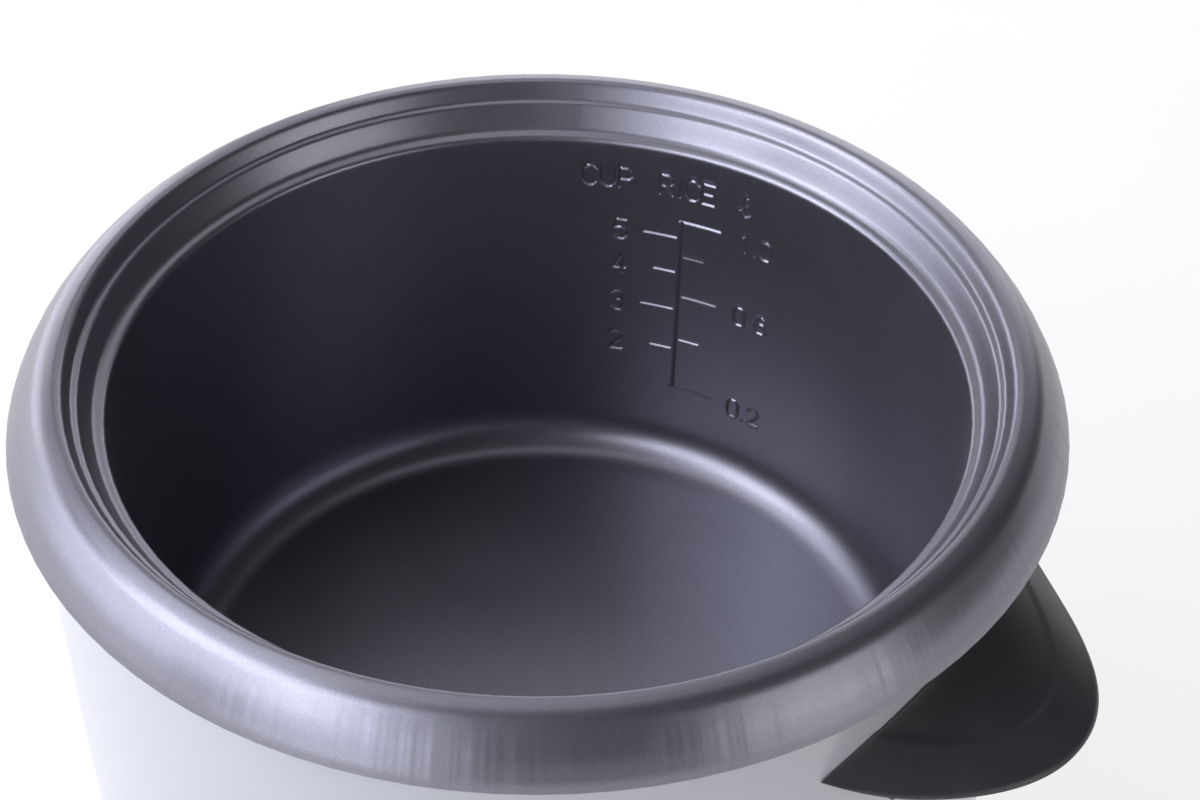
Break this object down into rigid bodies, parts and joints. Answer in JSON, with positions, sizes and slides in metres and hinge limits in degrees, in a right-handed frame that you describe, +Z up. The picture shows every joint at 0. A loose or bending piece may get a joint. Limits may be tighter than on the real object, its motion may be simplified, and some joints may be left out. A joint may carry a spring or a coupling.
{
  "type": "rice cooker",
  "caption": "Drum rice cooker: coated pot with a broad rolled rim in a white tapered case, wing handles, see-saw cook lever, heating plate and magnetic thermostat.",
  "frame": {"origin": "on the table under the middle of the pot", "axes": "+Z up, +X towards one handle, -Y towards the front panel, +Y towards the mains inlet"},
  "size_m": [0.2924, 0.2458, 0.1924],
  "materials": {
    "coated_aluminium": "satin non-stick coating with fine metallic grain",
    "white_paint": "gloss",
    "black_plastic": "satin",
    "aluminium": "brushed",
    "steel": "plated",
    "ferrite": "matt",
    "ceramic": "unglazed",
    "brass": "plain",
    "red_lens": "clear moulded",
    "amber_lens": "clear moulded",
    "glass": "clear",
    "wire_sleeve": "woven glass sleeve"
  },
  "bodies": {
    "case": {"body_shell": "white_paint", "base_plate": "steel", "foot_1": "black_plastic", "foot_2": "black_plastic", "foot_3": "black_plastic", "foot_4": "black_plastic", "foot_screw_1": "steel", "foot_screw_2": "steel", "foot_screw_3": "steel", "foot_screw_4": "steel", "handle_right": "black_plastic", "handle_left": "black_plastic", "handle_screw_right_1": "steel", "handle_screw_right_2": "steel", "handle_screw_left_1": "steel", "handle_screw_left_2": "steel", "well_liner": "aluminium", "heating_plate": "aluminium", "plate_screw_1": "steel", "plate_screw_2": "steel", "plate_screw_3": "steel", "heater_terminal_1": "ceramic", "heater_terminal_2": "ceramic", "sensor_spring": "steel", "thermostat_bracket": "steel", "bracket_screw_1": "steel", "bracket_screw_2": "steel", "switch_frame": "steel", "frame_screw": "steel", "pivot_pin": "steel", "micro_switch": "black_plastic", "switch_rivet": "steel", "control_panel": "black_plastic", "lamp_lens_cook": "red_lens", "lamp_bulb_cook": "glass", "lamp_lens_warm": "amber_lens", "lamp_bulb_warm": "glass", "inlet_socket": "black_plastic", "inlet_pin_1": "brass", "inlet_pin_2": "brass", "terminal_block": "ceramic", "keep_warm_thermostat": "ceramic", "thermal_fuse": "wire_sleeve", "wire_1": "wire_sleeve", "wire_2": "wire_sleeve"},
    "pot": {"inner_pot": "coated_aluminium"},
    "lever": {"lever_arm": "steel", "cook_paddle": "black_plastic"},
    "plunger": {"switch_plunger": "ceramic"},
    "sensor": {"sensor_cap": "aluminium", "sensor_barrel": "steel", "ferrite_disc": "ferrite", "release_spring": "steel"},
    "magnet": {"magnet": "ferrite", "magnet_carrier": "steel"}
  },
  "joints": [
    {"name": "pot_lift", "type": "slide", "parent": "case", "child": "pot", "axis": [0, 0, 1], "range_m": [0, 0.15]},
    {"name": "cook_lever", "type": "hinge", "parent": "case", "child": "lever", "pos_m": [0, -0.05, 0.034], "axis": [1, 0, 0], "range_deg": [0, 5.5], "stiffness_Nm_per_rad": 0.5, "springref_deg": -5.73},
    {"name": "plunger_travel", "type": "slide", "parent": "case", "child": "plunger", "axis": [0, 0, -1], "range_m": [0, 0.00144], "stiffness_N_per_m": 60, "springref_m": -0.001},
    {"name": "sensor_travel", "type": "slide", "parent": "case", "child": "sensor", "axis": [0, 0, 1], "range_m": [-0.0015, 0], "stiffness_N_per_m": 800, "springref_m": 0.003, "deforming": ["sensor_spring"]},
    {"name": "magnet_lift", "type": "slide", "parent": "case", "child": "magnet", "axis": [0, 0, 1], "range_m": [0, 0.0048], "deforming": ["release_spring"]}
  ],
  "couplings": [
    {"joint": "plunger_travel", "follows": "cook_lever", "m_per_rad": 0.015},
    {"joint": "magnet_lift", "follows": "cook_lever", "m_per_rad": 0.05}
  ]
}
